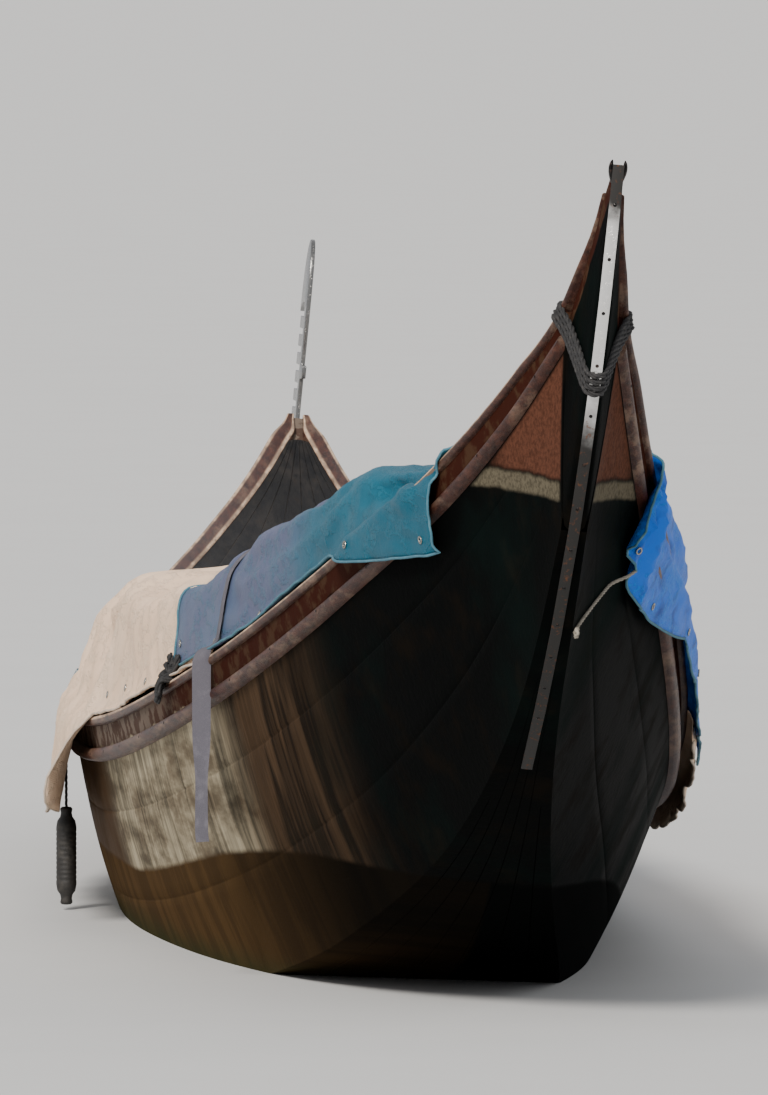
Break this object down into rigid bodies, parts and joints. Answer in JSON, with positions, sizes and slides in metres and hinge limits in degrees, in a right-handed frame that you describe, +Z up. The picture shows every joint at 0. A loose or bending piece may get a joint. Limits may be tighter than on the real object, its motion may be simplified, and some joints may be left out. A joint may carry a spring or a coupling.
{
  "type": "gondola rowing boat",
  "caption": "Long narrow flat-bottomed rowing boat of the gondola kind, afloat and leaning, with raised iron-shod ends and tarpaulin covers over its cockpit and aft deck.",
  "frame": {"origin": "middle of the waterline, on the plane through the stern post and the stem", "axes": "+Z up, +Y towards the bow, +X to starboard; the hull floats heeled 5.5 degrees to starboard"},
  "size_m": [1.4968, 10.7674, 2.229],
  "materials": {
    "black_paint": "black gloss paint, worn and faded",
    "tarred_bottom": "brown tarred planks",
    "worn_wood": "worn varnished wood, dark red and brown, light at its edges",
    "inner_wood": "dark stained wood",
    "iron": "polished iron",
    "cushion": "dark red cloth",
    "cover_blue": "blue coated tarpaulin, faded",
    "cover_cream": "cream canvas",
    "cover_violet": "blue and violet coated tarpaulin",
    "strap": "pale webbing",
    "fender": "dark rubber"
  },
  "bodies": {
    "root": {"bottom_planks": "tarred_bottom", "side_port_aft": "black_paint", "side_port_mid": "black_paint", "side_port_fore": "black_paint", "side_starboard_aft": "black_paint", "side_starboard_mid": "black_paint", "side_starboard_fore": "black_paint", "stern_head": "black_paint", "bow_head": "black_paint", "rail_port_aft": "worn_wood", "rail_port_mid": "worn_wood", "rail_port_fore": "worn_wood", "rail_starboard_aft": "worn_wood", "rail_starboard_mid": "worn_wood", "rail_starboard_fore": "worn_wood", "strake_port": "worn_wood", "inwale_port": "inner_wood", "strake_starboard": "worn_wood", "inwale_starboard": "inner_wood", "rib_1": "inner_wood", "rib_2": "inner_wood", "rib_3": "inner_wood", "rib_4": "inner_wood", "rib_5": "inner_wood", "rib_6": "inner_wood", "rib_7": "inner_wood", "aft_deck": "black_paint", "foredeck": "black_paint", "bulkhead_aft": "inner_wood", "bulkhead_fore": "inner_wood", "cockpit_floor": "inner_wood", "thwart_aft": "inner_wood", "thwart_fore": "inner_wood", "seat_frame": "inner_wood", "seat_cushion": "cushion", "seat_back": "inner_wood", "chair_port": "inner_wood", "chair_starboard": "inner_wood", "stern_iron": "iron", "bow_iron": "iron", "standing_platform": "inner_wood", "forcola_block": "inner_wood", "cover_aft": "cover_blue", "cover_main": "cover_cream", "cover_fore": "cover_violet", "strap_port": "strap", "fender_port": "fender"}
  },
  "joints": []
}
